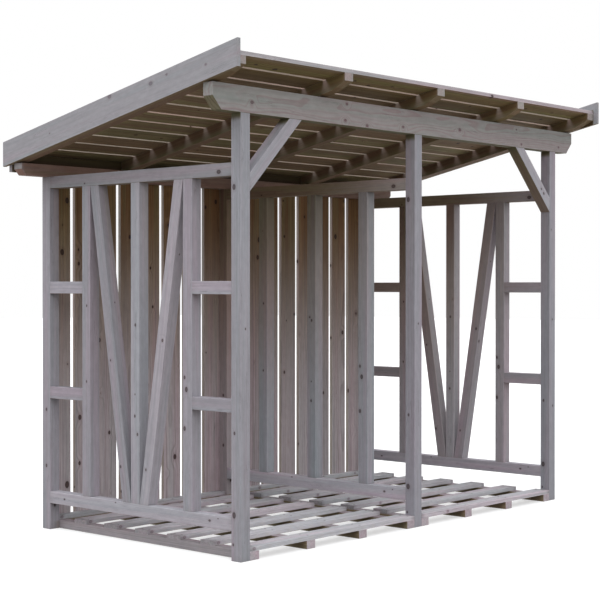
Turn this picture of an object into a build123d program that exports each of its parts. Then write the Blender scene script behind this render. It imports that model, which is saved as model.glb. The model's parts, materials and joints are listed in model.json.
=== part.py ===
from build123d import *
from math import asin, atan, cos, hypot, sin, sqrt
import os

# Two-bay timber log store, built as a kit of planed softwood: three side frames, two roof
# beams, five rafters under a single-pitch slatted roof, two slatted floors and two slatted
# back walls. Millimetres. x runs along the front from left to right, y from the front to
# the back and z upwards; the origin is on the ground under the middle of the whole store.

# ---- timber stock -------------------------------------------------------------------
stick = 45.0           # side of the square section used for posts, rails, studs and rafters
beam_depth = 2 * stick  # the front beam is the same stock at double depth
board_width = 90.0     # roof and verge boards
wall_board_width = 93.0  # back wall boards
board_thick = 15.0     # every board and slat
slat_width = 70.0      # floor slats and rear fascia
last_slat_width = slat_width / 2  # the last slat of each floor is ripped down the middle
bearer_height = 30.0   # floor bearers lie flat under the slats

# ---- main sizes ---------------------------------------------------------------------
bay_width = 909.0          # clear width of one log bay between its posts
frame_depth = 1055.0       # front face of front post to back face of rear post
front_post_height = 1505.0
rear_post_height = 1340.0  # also the top of the side frame's top rail
bottom_rail_lift = 100.0   # clear height under the bottom rail
side_overhang = 131.5      # beams and roof boards reach this far past the side frames
front_overhang = 108.0     # rafter ends stand this far in front of the posts
verge_reach = 19.0         # verge board runs on past the roof at both ends

# ---- layout -------------------------------------------------------------------------
brace_leg = 262.0          # long leg of the corner brace, along beam and post
rung_bay = 190.0           # clear depth of the two outer fields of a side frame
slat_count = 7
bearer_count = 4
rafter_count = 5
least_roof_gap = 12.0      # roof boards stand at least this far apart, as many as fit
least_wall_gap = 24.0      # back boards the same
wall_board_lap = 2.0       # the outer back boards reach this far behind the posts
back_board_lift = 15.0     # back boards start this far above the ground
back_board_clear = 3.0     # and stop this far below the rafters
seat_depth = 1.0           # shallow seat cut where a rafter crosses a beam
beam_end_rise = stick      # sloping cut under the ends of the front beam
beam_end_run = 41.0
tail_rise = 18.0           # long sloping cut under the front end of a rafter
tail_run = 65.0

# ---- derived positions --------------------------------------------------------------
frame_width = 3 * stick + 2 * bay_width
post_x = [-frame_width / 2, -stick / 2, frame_width / 2 - stick]
bay_x = [post_x[0] + stick, post_x[1] + stick]
reach_in_front = front_overhang + verge_reach
reach_behind = 2 * board_thick + verge_reach
front_y = (reach_in_front - frame_depth - reach_behind) / 2
back_y = front_y + frame_depth
rear_post_y = back_y - stick
rail_y = front_y + stick
rail_length = frame_depth - 2 * stick
beam_top = front_post_height + beam_depth
rear_beam_top = rear_post_height + stick
slope = (beam_top - rear_beam_top) / (frame_depth - stick)
pitch = atan(slope)
stick_plumb = stick / cos(pitch)
roof_length = frame_width + 2 * side_overhang
roof_left = -roof_length / 2
roof_right = roof_length / 2
roof_front_y = front_y - front_overhang
wall_back_y = back_y + board_thick
roof_back_y = wall_back_y + board_thick
roof_run = (roof_back_y - roof_front_y) / cos(pitch)
brace_field = (frame_depth - 5 * stick - 2 * rung_bay) / 2
stud_y = [rail_y + rung_bay + i * (stick + brace_field) for i in range(3)]
top_rail_z = rear_post_height - stick
stud_foot_z = bottom_rail_lift + stick
rung_gap = (top_rail_z - stud_foot_z - 2 * stick) / 3
rung_z = [stud_foot_z + rung_gap, stud_foot_z + 2 * rung_gap + stick]


def rafter_under(y):
    """Height of the rafters' underside at depth y; the roof falls towards the back."""
    return beam_top - seat_depth - (y - rail_y) * slope


def rafter_over(y):
    """Height of the rafters' top edge at depth y, where the roof boards lie."""
    return rafter_under(y) + stick_plumb


def box_from(x, y, z, dx, dy, dz):
    """One squared timber with its left, front, bottom corner at x, y, z."""
    with Locations((x, y, z)):
        Box(dx, dy, dz, align=(Align.MIN, Align.MIN, Align.MIN))


def side_profile(x, width, points):
    """A piece drawn in the side view (y, z) and carried across the store from x."""
    with BuildSketch(Plane.YZ.offset(x)) as outline:
        with BuildLine():
            Polyline(points, close=True)
        make_face()
    extrude(outline.sketch, amount=width)


def front_profile(y, depth, points):
    """A piece drawn in the front view (x, z) and carried backwards from y."""
    with BuildSketch(Plane.XZ.offset(-y)) as outline:
        with BuildLine():
            Polyline(points, close=True)
        make_face()
    extrude(outline.sketch, amount=-depth)


os.makedirs("parts", exist_ok=True)

# ---- posts: three in front, tall, under the beam; three behind, short ------------------
for name, x in zip(("left", "middle", "right"), post_x):
    with BuildPart() as front_post:
        box_from(x, front_y, 0, stick, stick, front_post_height)
    front_post.part.label = name + "_front_post"
    export_step(front_post.part, "parts/" + name + "_front_post.step")

    with BuildPart() as rear_post:
        box_from(x, rear_post_y, 0, stick, stick, rear_post_height)
    rear_post.part.label = name + "_rear_post"
    export_step(rear_post.part, "parts/" + name + "_rear_post.step")

    # rails run front to back between the posts
    with BuildPart() as top_rail:
        box_from(x, rail_y, top_rail_z, stick, rail_length, stick)
    top_rail.part.label = name + "_top_rail"
    export_step(top_rail.part, "parts/" + name + "_top_rail.step")

    with BuildPart() as bottom_rail:
        box_from(x, rail_y, bottom_rail_lift, stick, rail_length, stick)
    bottom_rail.part.label = name + "_bottom_rail"
    export_step(bottom_rail.part, "parts/" + name + "_bottom_rail.step")

    # three upright studs stand on the bottom rail and carry the top rail
    with BuildPart() as studs:
        for y in stud_y:
            box_from(x, y, stud_foot_z, stick, stick, top_rail_z - stud_foot_z)
    studs.part.label = name + "_studs"
    export_step(studs.part, "parts/" + name + "_studs.step")

# ---- side frames: V braces and rungs stop the logs, outer frames only -------------------
# Each leaning brace stands against the middle stud's foot and leans out to the head of
# the stud beside it. Its width across the slope is one stick.
brace_rise = top_rail_z - stud_foot_z
brace_span = hypot(brace_field, brace_rise)
brace_lean = atan(brace_field / brace_rise) - asin(stick / brace_span)
brace_foot = stick / cos(brace_lean)

for name, x in (("left", post_x[0]), ("right", post_x[2])):
    rear_foot_y = stud_y[1] + stick
    rear_head_y = stud_y[2]
    with BuildPart() as rear_v_brace:
        side_profile(x, stick, [
            (rear_foot_y, stud_foot_z),
            (rear_foot_y + brace_foot, stud_foot_z),
            (rear_head_y, top_rail_z),
            (rear_head_y - brace_foot, top_rail_z),
        ])
    rear_v_brace.part.label = name + "_rear_v_brace"
    export_step(rear_v_brace.part, "parts/" + name + "_rear_v_brace.step")

    front_foot_y = stud_y[1]
    front_head_y = stud_y[0] + stick
    with BuildPart() as front_v_brace:
        side_profile(x, stick, [
            (front_foot_y, stud_foot_z),
            (front_foot_y - brace_foot, stud_foot_z),
            (front_head_y, top_rail_z),
            (front_head_y + brace_foot, top_rail_z),
        ])
    front_v_brace.part.label = name + "_front_v_brace"
    export_step(front_v_brace.part, "parts/" + name + "_front_v_brace.step")

    with BuildPart() as rungs:
        for y in (rail_y, stud_y[2] + stick):
            for z in rung_z:
                box_from(x, y, z, stick, rung_bay, stick)
    rungs.part.label = name + "_rungs"
    export_step(rungs.part, "parts/" + name + "_rungs.step")

# ---- beams: both run past the side frames and are cut back underneath at the ends -------
with BuildPart() as front_beam:
    front_profile(front_y, stick, [
        (roof_left + beam_end_run, front_post_height),
        (roof_right - beam_end_run, front_post_height),
        (roof_right, front_post_height + beam_end_rise),
        (roof_right, beam_top),
        (roof_left, beam_top),
        (roof_left, front_post_height + beam_end_rise),
    ])
front_beam.part.label = "front_beam"
export_step(front_beam.part, "parts/front_beam.step")

with BuildPart() as rear_beam:
    front_profile(rear_post_y, stick, [
        (roof_left + beam_end_run / 2, rear_post_height),
        (roof_right - beam_end_run / 2, rear_post_height),
        (roof_right, rear_post_height + beam_end_rise / 2),
        (roof_right, rear_beam_top),
        (roof_left, rear_beam_top),
        (roof_left, rear_post_height + beam_end_rise / 2),
    ])
rear_beam.part.label = "rear_beam"
export_step(rear_beam.part, "parts/rear_beam.step")

# ---- corner braces: mitred at both ends, in the plane of the front posts ----------------
brace_inner_leg = brace_leg - stick * sqrt(2)
for name, corner_x, way in (("left", bay_x[0], 1), ("right", post_x[2], -1)):
    with BuildPart() as corner_brace:
        front_profile(front_y, stick, [
            (corner_x, front_post_height - brace_leg),
            (corner_x + way * brace_leg, front_post_height),
            (corner_x + way * brace_inner_leg, front_post_height),
            (corner_x, front_post_height - brace_inner_leg),
        ])
    corner_brace.part.label = name + "_corner_brace"
    export_step(corner_brace.part, "parts/" + name + "_corner_brace.step")

# ---- floors: bearers on the ground front to back, slats across them; short noggings close
# the gaps between the bearers under the last slat ------------------------------------------
bearer_step = (bay_width - stick) / (bearer_count - 1)
last_slat_y = back_y - last_slat_width
slat_step = (last_slat_y - front_y) / (slat_count - 1)
for name, x in zip(("left", "right"), bay_x):
    with BuildPart() as bearers:
        for i in range(bearer_count):
            box_from(x + i * bearer_step, front_y, 0, stick, frame_depth, bearer_height)
    bearers.part.label = name + "_floor_bearers"
    export_step(bearers.part, "parts/" + name + "_floor_bearers.step")

    with BuildPart() as slats:
        for i in range(slat_count - 1):
            slat_y = front_y + i * slat_step
            box_from(x, slat_y, bearer_height, bay_width, slat_width, board_thick)
        box_from(x, last_slat_y, bearer_height, bay_width, last_slat_width, board_thick)
    slats.part.label = name + "_floor_slats"
    export_step(slats.part, "parts/" + name + "_floor_slats.step")

    with BuildPart() as noggings:
        for i in range(bearer_count - 1):
            nogging_x = x + i * bearer_step + stick
            nogging_length = bearer_step - stick
            box_from(nogging_x, last_slat_y, 0, nogging_length, last_slat_width, bearer_height)
    noggings.part.label = name + "_floor_noggings"
    export_step(noggings.part, "parts/" + name + "_floor_noggings.step")

# ---- back walls: upright boards, spread from post to post, nailed to rear beam and floor --
wall_run = bay_width + 2 * wall_board_lap
back_board_count = int((wall_run + least_wall_gap) / (wall_board_width + least_wall_gap))
back_board_step = (wall_run - wall_board_width) / (back_board_count - 1)
back_board_height = rafter_under(wall_back_y) - back_board_clear - back_board_lift
for name, x in zip(("left", "right"), bay_x):
    with BuildPart() as back_boards:
        for i in range(back_board_count):
            board_x = x - wall_board_lap + i * back_board_step
            box_from(board_x, back_y, back_board_lift, wall_board_width, board_thick, back_board_height)
    back_boards.part.label = name + "_back_boards"
    export_step(back_boards.part, "parts/" + name + "_back_boards.step")

# ---- rafters: square stock, plumb ends, tapered front tail, seated on both beams ---------
rafter_step = (roof_length - stick) / (rafter_count - 1)
seat_run = seat_depth / slope
with BuildPart() as rafters:
    for i in range(rafter_count):
        side_profile(roof_left + i * rafter_step, stick, [
            (roof_front_y, rafter_over(roof_front_y)),
            (roof_front_y, rafter_under(roof_front_y) + tail_rise),
            (roof_front_y + tail_run, rafter_under(roof_front_y + tail_run)),
            (rail_y - seat_run, beam_top),
            (rail_y, beam_top),
            (rail_y, rafter_under(rail_y)),
            (back_y - seat_run, rear_beam_top),
            (back_y, rear_beam_top),
            (back_y, rafter_under(back_y)),
            (wall_back_y, rafter_under(wall_back_y)),
            (wall_back_y, rafter_over(wall_back_y)),
        ])
rafters.part.label = "rafters"
export_step(rafters.part, "parts/rafters.step")

# ---- roof boards: across the rafters, evenly spaced down the slope -----------------------
roof_plane = Plane(
    origin=(roof_left, roof_front_y, rafter_over(roof_front_y)),
    x_dir=(1, 0, 0),
    z_dir=(0, sin(pitch), cos(pitch)),
)
roof_board_count = int((roof_run + least_roof_gap) / (board_width + least_roof_gap))
roof_step = (roof_run - board_width) / (roof_board_count - 1)
with BuildPart() as roof_boards:
    with BuildSketch(roof_plane):
        for i in range(roof_board_count):
            with Locations((0, i * roof_step)):
                Rectangle(roof_length, board_width, align=(Align.MIN, Align.MIN))
    extrude(amount=board_thick)
roof_boards.part.label = "roof_boards"
export_step(roof_boards.part, "parts/roof_boards.step")

# ---- verge boards: on the outer rafters' outer faces, lower edges flush with the rafters'
# undersides, so that the rest stands up past the roof boards
verge_front_y = roof_front_y - verge_reach
verge_back_y = roof_back_y + verge_reach
verge_plumb = board_width / cos(pitch)
for name, x in (("left", roof_left - board_thick), ("right", roof_right)):
    with BuildPart() as verge_board:
        side_profile(x, board_thick, [
            (verge_front_y, rafter_under(verge_front_y) + verge_plumb),
            (verge_front_y, rafter_under(verge_front_y)),
            (verge_back_y, rafter_under(verge_back_y)),
            (verge_back_y, rafter_under(verge_back_y) + verge_plumb),
        ])
    verge_board.part.label = name + "_verge_board"
    export_step(verge_board.part, "parts/" + name + "_verge_board.step")

# ---- rear fascia: a plain board closing the rafter ends, up to the roof boards' underside --
fascia_bottom = rafter_over(roof_back_y) - slat_width
with BuildPart() as rear_fascia:
    box_from(roof_left, wall_back_y, fascia_bottom, roof_length, board_thick, slat_width)
rear_fascia.part.label = "rear_fascia"
export_step(rear_fascia.part, "parts/rear_fascia.step")
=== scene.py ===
# %% [markdown]
# # A two-bay timber log store
#
# The log store itself is already built: three side frames, two beams, a slatted roof, two
# slatted floors and two slatted back walls. Those shapes come from the imported model and stay
# as they are. What this lesson adds is what real timber has and a bare solid lacks: softened
# arrises, growth rings, knots, weathering, and the screws that hold it together. Some light
# and shade is painted into the timber's colour as well.
#
# Everything is in metres. X runs along the open front, Y from the front to the back wall and
# Z upwards, with the ground at zero.

# %% Load the store
import bmesh
import bpy
import json
import math
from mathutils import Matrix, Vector
from types import SimpleNamespace


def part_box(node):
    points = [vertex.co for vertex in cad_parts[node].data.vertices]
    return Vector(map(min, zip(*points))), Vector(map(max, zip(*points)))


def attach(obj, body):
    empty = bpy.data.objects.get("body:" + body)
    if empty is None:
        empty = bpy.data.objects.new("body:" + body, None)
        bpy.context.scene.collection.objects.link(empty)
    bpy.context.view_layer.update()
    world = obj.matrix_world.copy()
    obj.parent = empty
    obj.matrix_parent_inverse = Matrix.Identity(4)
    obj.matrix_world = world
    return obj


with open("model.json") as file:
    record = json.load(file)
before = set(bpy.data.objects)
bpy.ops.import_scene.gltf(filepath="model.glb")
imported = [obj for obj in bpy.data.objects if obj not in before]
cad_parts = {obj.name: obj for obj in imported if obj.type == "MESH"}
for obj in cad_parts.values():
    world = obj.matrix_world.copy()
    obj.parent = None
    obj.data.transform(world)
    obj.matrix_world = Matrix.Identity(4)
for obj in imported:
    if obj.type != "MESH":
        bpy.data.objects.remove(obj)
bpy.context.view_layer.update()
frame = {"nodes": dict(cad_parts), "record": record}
boards = frame["nodes"]
scene = bpy.context.scene
print("pieces of timber:", len(boards))

# %% [markdown]
# ## Camera
#
# A picture of a tall open frame looks calm when its posts stay upright, so the camera stands
# at about the middle of the height and hardly tilts. It stands off the front left corner, and
# a long lens from six metres keeps the near bay from looking larger than the far one.

# %% Camera
eye = Vector((-4.4835, -3.8955, 0.924))
heading = math.radians(41.83)
tilt = math.radians(-0.457)
gaze = Vector((math.cos(heading) * math.cos(tilt), math.sin(heading) * math.cos(tilt), math.sin(tilt)))
camera = bpy.data.objects.new("camera", bpy.data.cameras.new("camera"))
scene.collection.objects.link(camera)
camera.location = eye
camera.rotation_mode = "QUATERNION"
camera.rotation_quaternion = gaze.to_track_quat("-Z", "Y")
camera.data.sensor_width = 36.0
camera.data.lens = 87.82
camera.data.shift_x = -0.0010
camera.data.shift_y = -0.0034
scene.camera = camera

# %% [markdown]
# ## Tools for wiring nodes
#
# Timber looks like timber because of many small patterns laid over each other, and each
# pattern is a few nodes. Typing every node and every wire by hand hides the idea, so these
# helpers put a node on a tree and wire it in one line. A value given to a socket may be a
# plain number or the output of another node, and then the new node joins that one's tree.

# %% Put nodes on a tree
def feed(socket, value):
    """Wire another node's output into a socket, or type a plain value into it."""
    if isinstance(value, bpy.types.NodeSocket):
        socket.id_data.links.new(value, socket)
    else:
        socket.default_value = value


def add(tree, kind, inputs=None, **settings):
    """Put one node on a tree, with its settings first and its sockets after them."""
    node = tree.nodes.new(kind)
    for name, value in settings.items():
        setattr(node, name, value)
    for socket, value in (inputs or {}).items():
        feed(node.inputs[socket], value)
    return node


def tree_of(*values):
    """The tree of the first wired value; every socket knows the tree that it is on."""
    return next(value.id_data for value in values if isinstance(value, bpy.types.NodeSocket))


def reckon(operation, a, b=0.0, c=0.0):
    """Arithmetic on numbers."""
    return add(tree_of(a, b, c), "ShaderNodeMath", {0: a, 1: b, 2: c}, operation=operation).outputs[0]


def ease(value, start, end, low=0.0, high=1.0):
    """Go smoothly from low to high while the value goes from start to end."""
    span = {"Value": value, "From Min": start, "From Max": end, "To Min": low, "To Max": high}
    return add(tree_of(value), "ShaderNodeMapRange", span, interpolation_type="SMOOTHSTEP").outputs["Result"]


def scaled(value, by, plus):
    """A value times one number, plus another."""
    return reckon("MULTIPLY_ADD", value, by, plus)


def product(first, *others):
    """Multiply values; of tests that are one or zero, this is one only where all are."""
    for other in others:
        first = reckon("MULTIPLY", first, other)
    return first


def parts(place):
    """The three numbers of a place or a direction."""
    return add(tree_of(place), "ShaderNodeSeparateXYZ", {0: place}).outputs


def colour(red, green, blue):
    """A node's colour socket also wants an opacity."""
    return (red, green, blue, 1.0)


# %% [markdown]
# ## Studio light
#
# Outdoors a timber store is lit by the whole sky. A sun lamp would draw hard stripes through
# the slats, while a plain white dome gives soft, even light, a little weaker from the right.
# Two broad lamps on the viewer's side fill the two faces that are seen, as the brighter part
# of a sky would. The camera sees the dome as pure white, and so do mirrors and glass, while
# the light that falls on the timber keeps its own strength.

# %% Rays that only look
def only_seen(tree):
    """One for rays that look at the background, zero for rays that carry light."""
    path = add(tree, "ShaderNodeLightPath")
    mirror = reckon("MAXIMUM", path.outputs["Is Glossy Ray"], path.outputs["Is Transmission Ray"])
    return reckon("MAXIMUM", path.outputs["Is Camera Ray"], mirror)


# %% Sky dome
horizon_light, overhead_light, right_side_share = 1.13, 2.75, 0.78
sky = bpy.data.worlds.new("sky_dome")
scene.world = sky
sky.use_nodes = True
tree = sky.node_tree
tree.nodes.clear()
rightward, _, upward = parts(add(tree, "ShaderNodeTexCoord").outputs["Generated"])
upward = reckon("POWER", reckon("MAXIMUM", upward, 0.0), 2.0)
strength = scaled(upward, overhead_light - horizon_light, horizon_light)
strength = product(strength, ease(rightward, 0.3, 1.0, 1.0, right_side_share))
lighting = add(tree, "ShaderNodeBackground", {"Color": colour(0.96, 0.975, 1.0), "Strength": strength})
backdrop = add(tree, "ShaderNodeBackground", {"Color": colour(1, 1, 1), "Strength": 1.0})
dome = add(tree, "ShaderNodeMixShader", {0: only_seen(tree), 1: lighting.outputs[0], 2: backdrop.outputs[0]})
add(tree, "ShaderNodeOutputWorld", {"Surface": dome.outputs[0]})
scene.view_settings.view_transform = "Standard"
print("sky light:", horizon_light, "at the horizon,", overhead_light, "overhead")

# %% Broad lamps
aim = Vector((0, 0, 0.8))


def broad_lamp(name, bearing, height_angle, watts, tint, distance=7.0, size=5.0):
    """A square soft lamp that looks at the middle of the store; the bearing is round Z."""
    lamp = bpy.data.objects.new(name, bpy.data.lights.new(name, "AREA"))
    scene.collection.objects.link(lamp)
    across, up = math.radians(bearing), math.radians(height_angle)
    way = Vector((math.cos(across) * math.cos(up), math.sin(across) * math.cos(up), math.sin(up)))
    lamp.location = aim + way * distance
    lamp.rotation_mode = "QUATERNION"
    lamp.rotation_quaternion = way.to_track_quat("Z", "Y")
    lamp.data.size = size
    lamp.data.energy = watts
    lamp.data.color = tint


broad_lamp("front_lamp", bearing=-120, height_angle=30, watts=90.0, tint=(1.0, 0.97, 0.96))
broad_lamp("left_lamp", bearing=165, height_angle=25, watts=40.0, tint=(0.90, 0.95, 1.0))

# %% [markdown]
# ## Floor
#
# The store needs something to stand on, or its feet seem to float. A wide pale floor catches
# the shadow between the bearers. It is white to the eye, so that it runs into the background,
# and a dull stone grey to light, because a white floor would light the roof from below. A
# little of its whiteness is glow, so that the shadow stays faint. Four more helpers come in
# here: sums on places and directions, a mix of two colours, soft noise and a new material.

# %% Floor plate
floor_reach, floor_drop = 30.0, 0.0005
plate = bmesh.new()
bmesh.ops.create_grid(plate, x_segments=1, y_segments=1, size=floor_reach)
floor = bpy.data.objects.new("floor", bpy.data.meshes.new("floor"))
plate.to_mesh(floor.data)
plate.free()
floor.location = (0, 0, -floor_drop)
scene.collection.objects.link(floor)
print("floor reaches", floor_reach, "m to each side")

# %% Places, colours and noise
def arrow(operation, a, b=(0.0, 0.0, 0.0), scale=1.0):
    """Arithmetic on places and directions; lengths and products come back as numbers."""
    node = add(tree_of(a, b), "ShaderNodeVectorMath", {0: a, 1: b, 3: scale}, operation=operation)
    return node.outputs["Value" if operation in ("DOT_PRODUCT", "LENGTH") else "Vector"]


def mixed(amount, first, second, way="MIX"):
    """Mix two colours."""
    values = {0: amount, 6: first, 7: second}
    node = add(tree_of(*values.values()), "ShaderNodeMix", values, data_type="RGBA", blend_type=way)
    return node.outputs[2]


def grey_noise(place, stretch, detail=2.0, roughness=0.5):
    """Soft noise around a half, with its own size along each direction of the board."""
    stretched = arrow("MULTIPLY", place, stretch)
    values = {"Vector": stretched, "Scale": 1.0, "Detail": detail, "Roughness": roughness}
    return add(tree_of(place), "ShaderNodeTexNoise", values).outputs[0]


def new_finish(name):
    """A material, its tree and its main shader."""
    finish = bpy.data.materials.new(name)
    finish.use_nodes = True
    return finish, finish.node_tree, finish.node_tree.nodes["Principled BSDF"]


# %% Floor finish
glow, speckles = 0.55, 60
pale, tree, screed = new_finish("pale_floor")
screed.inputs["Roughness"].default_value = 0.9
screed.inputs["Emission Color"].default_value = colour(1, 1, 1)
speckle = grey_noise(add(tree, "ShaderNodeTexCoord").outputs["Object"], (speckles,) * 3, 4)
stone = mixed(speckle, colour(0.165, 0.145, 0.12), colour(0.19, 0.165, 0.14))
seen = only_seen(tree)
feed(screed.inputs["Base Color"], mixed(seen, stone, colour(1 - glow, 1 - glow, 1 - glow)))
feed(screed.inputs["Emission Strength"], product(seen, glow))
floor.data.materials.append(pale)
print("share of the floor's white that is glow:", glow)

# %% [markdown]
# ## Arrises
#
# Planed timber is never left razor sharp: each long edge, called the arris, is rounded by a
# millimetre or two on a stick and by less on a thin board, and that thin line of light is
# what makes it look cut from wood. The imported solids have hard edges. They could be rounded
# in the solids, but that would multiply their faces, so a Bevel modifier rounds them without
# touching their meshes. Before it, Weld joins the corners that the file format splits, and a
# planar Decimate turns pairs of triangles back into whole faces.

# %% Round the arrises
stick_arris, board_arris = 0.0015, 0.0003
split_corners, flat_degrees, edge_degrees = 0.00001, 0.2, 20


def round_arrises(board, radius):
    """Weld, make faces whole again, and bevel whatever turns sharply."""
    weld = board.modifiers.new("weld_corners", "WELD")
    weld.merge_threshold = split_corners
    whole = board.modifiers.new("whole_faces", "DECIMATE")
    whole.decimate_type = "DISSOLVE"
    whole.angle_limit = math.radians(flat_degrees)
    arris = board.modifiers.new("arris", "BEVEL")
    arris.width = radius
    arris.segments = 3
    arris.limit_method = "ANGLE"
    arris.angle_limit = math.radians(edge_degrees)


for name, board in boards.items():
    thin = any(word in name for word in ("slats", "boards", "verge", "fascia"))
    round_arrises(board, board_arris if thin else stick_arris)
print("arrises rounded on", len(boards), "nodes")

# %% [markdown]
# ## What each board knows about itself
#
# Grain runs along a board, whichever way the board lies, and no two boards are cut from the
# same place in a tree. One pattern in the store's own coordinates would run straight through
# all of them, so each board is told five things: where each of its points lies measured
# along, across and through that board, the same measured from the board's middle, how large
# the board is in those directions, three random numbers of its own, and a shade for its piece,
# which is partly its plank's tone and partly painted light and shade. Geometry Nodes can work
# this out for each separate board of a mesh (an island) and store it as attributes that the
# material reads.
#
# Some knots are too plain to be left to chance, such as the dark ones on the front post. So
# the same group also takes up to nine knots per piece, each a place and a radius, and
# hands them on to the material.

# %% What the group is told
knot_rows, knots_in_row = 3, 3
facts = bpy.data.node_groups.new("board_facts", "GeometryNodeTree")


def fact_input(label, kind):
    """One more socket on the group's input side."""
    return facts.interface.new_socket(label, in_out="INPUT", socket_type="NodeSocket" + kind)


fact_input("Boards", "Geometry")
way_sockets = [fact_input(label, "Vector") for label in ("Grain", "Across", "Through")]
knot_sockets = [fact_input(f"Knot {n + 1}", "Vector") for n in range(knot_rows * knots_in_row)]
size_sockets = [fact_input(f"Knot sizes {n + 1}", "Vector") for n in range(knot_rows)]
shade_socket = fact_input("Shade", "Vector")
seed_socket = fact_input("Seed", "Int")
facts.interface.new_socket("Boards", in_out="OUTPUT", socket_type="NodeSocketGeometry")
given = facts.nodes.new("NodeGroupInput").outputs
taken = facts.nodes.new("NodeGroupOutput").inputs
print("knots that a piece can be given:", len(knot_sockets))

# %% Measure each board
spot = add(facts, "GeometryNodeInputPosition").outputs[0]
along, across, through = (arrow("DOT_PRODUCT", spot, given[way.name]) for way in way_sockets)
turned = add(facts, "ShaderNodeCombineXYZ", {0: along, 1: across, 2: through}).outputs[0]
island = add(facts, "GeometryNodeInputMeshIsland").outputs["Island Index"]
reach = add(facts, "GeometryNodeFieldMinAndMax", data_type="FLOAT_VECTOR")
feed(reach.inputs["Value"], turned)
feed(reach.inputs["Group ID"], island)
middle = arrow("SCALE", arrow("ADD", reach.outputs["Min"], reach.outputs["Max"]), scale=0.5)
half = arrow("SCALE", arrow("SUBTRACT", reach.outputs["Max"], reach.outputs["Min"]), scale=0.5)
luck = add(facts, "FunctionNodeRandomValue", data_type="FLOAT_VECTOR")
feed(luck.inputs["ID"], island)
feed(luck.inputs["Seed"], given["Seed"])
print("nodes that measure a board:", len(facts.nodes))

# %% Store what was measured
kept_facts = {
    "timber_spot": turned,
    "timber_place": arrow("SUBTRACT", turned, middle),
    "timber_half": half,
    "timber_seed": luck.outputs["Value"],
    "timber_shade": given["Shade"],
}
kept_facts.update({f"knot_{n + 1}": given[socket.name] for n, socket in enumerate(knot_sockets)})
kept_facts.update({f"knot_sizes_{n + 1}": given[socket.name] for n, socket in enumerate(size_sockets)})
store = given["Boards"]
for label, value in kept_facts.items():
    keep = add(facts, "GeometryNodeStoreNamedAttribute", data_type="FLOAT_VECTOR")
    feed(keep.inputs["Geometry"], store)
    feed(keep.inputs["Name"], label)
    feed(keep.inputs["Value"], value)
    store = keep.outputs["Geometry"]
plain = add(facts, "GeometryNodeRemoveAttribute", {"Geometry": store, "Name": "custom_normal"})
smooth = add(facts, "GeometryNodeSetShadeSmooth", {"Geometry": plain.outputs[0]})
feed(taken["Boards"], smooth.outputs[0])
print("facts stored per board:", len(kept_facts))

# %% [markdown]
# ## The knots that everyone sees
#
# A maker who copies a piece notes its plain knots first. Each is written here as three
# thousandths of the piece's own box (0 is its left, front or bottom, 1000 its right, back or
# top) and a radius in millimetres. Places in metres would do too, but a share keeps a knot in
# its place when the piece changes size. The three side frames share one list.

# %% Placed knots
slat_count, slat_step = 7, 161.1


def slat_knots(share_along):
    """One small knot in the front edge of each slat; the step is a share of the floor's depth."""
    return tuple((share_along, slat * slat_step, 530, 5.6) for slat in range(slat_count))


placed_knots = {
    "front_post": (
        (0, 700, 835, 7.2), (0, 700, 103, 7.8), (0, 660, 286, 4.2), (0, 790, 37, 3.4), (500, 0, 519, 3),
    ),
    "top_rail": ((0, 61, 360, 7.2), (0, 788, 220, 2.6)),
    "bottom_rail": ((0, 107, 560, 4), (0, 911, 490, 3.5), (0, 610, 870, 2.4), (0, 65, 800, 2)),
    "rear_post": ((0, 480, 180, 4.8), (0, 480, 340, 4.5), (500, 0, 67, 4.5)),
    "front_v_brace": ((0, 460, 512, 4.5), (0, 847, 110, 3.6), (500, 180, 774, 2.2)),
    "rear_v_brace": ((0, 250, 110, 4), (0, 490, 443, 3), (500, 500, 626, 2.2)),
    "studs": (
        (0, 958, 371, 3.4), (0, 956, 615, 3.4), (0, 497, 557, 4.2), (0, 502, 273, 4.2),
        (0, 500, 341, 2.4), (0, 47, 367, 6.8), (0, 62, 249, 5.8), (0, 62, 403, 4.6),
    ),
    "right_corner_brace": ((820, 0, 300, 5), (750, 0, 370, 4)),
    "front_beam": (
        (84, 0, 420, 6), (622, 0, 450, 6), (304, 0, 200, 5), (360, 0, 100, 5.6), (457, 0, 235, 5),
        (308, 0, 858, 4.8), (821, 0, 156, 4.6), (952, 0, 244, 4.2), (804, 0, 810, 3.6),
    ),
    "left_verge_board": (
        (0, 333, 682, 6.8), (0, 505, 607, 6.8), (0, 117, 791, 3.6), (0, 269, 748, 3.6),
        (0, 774, 305, 2.6),
    ),
    "roof_boards": tuple((share, 47, 897, 5.5) for share in (68, 300, 397, 800, 891)),
    "left_back_boards": (
        (85, 0, 911, 8.5), (58, 0, 764, 8.8), (148, 0, 732, 5.6), (438, 0, 813, 6), (907, 0, 914, 5.5),
        (83, 0, 102, 10), (151, 0, 159, 6), (390, 0, 62, 5),
    ),
    "right_back_boards": (
        (224, 0, 818, 8.5), (215, 0, 761, 7.5), (406, 0, 832, 4.5), (796, 0, 838, 8.5),
        (866, 0, 962, 6), (480, 0, 574, 5), (613, 0, 551, 5.5), (852, 0, 507, 7), (961, 0, 572, 5),
    ),
    "left_floor_slats": slat_knots(22),
    "right_floor_slats": slat_knots(187),
}
print("knots placed by hand:", sum(len(each) for each in placed_knots.values()))

# %% [markdown]
# ## Which way the grain runs
#
# The grain runs along a board's longest edge, so that edge is looked for in each mesh. The
# second direction is the longest edge that crosses it. The world's X, Y and Z would do for
# the posts and rails, but not for the rafters and braces, which lean.

# %% Find the grain
def grain_frame(mesh):
    """Unit directions along, across and through the boards of one mesh.

    The file format splits a mesh along its real edges, so only the lines that cut a face in
    two triangles still have a face on each side; those are left out.
    """
    opened = bmesh.new()
    opened.from_mesh(mesh)
    edges = [edge.verts[1].co - edge.verts[0].co for edge in opened.edges if edge.is_boundary]
    opened.free()
    grain = max(edges, key=lambda way: way.length).normalized()
    crossing = [way - grain * way.dot(grain) for way in edges]
    wide = max(crossing, key=lambda way: way.length).normalized()
    return grain, wide, grain.cross(wide)


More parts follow.
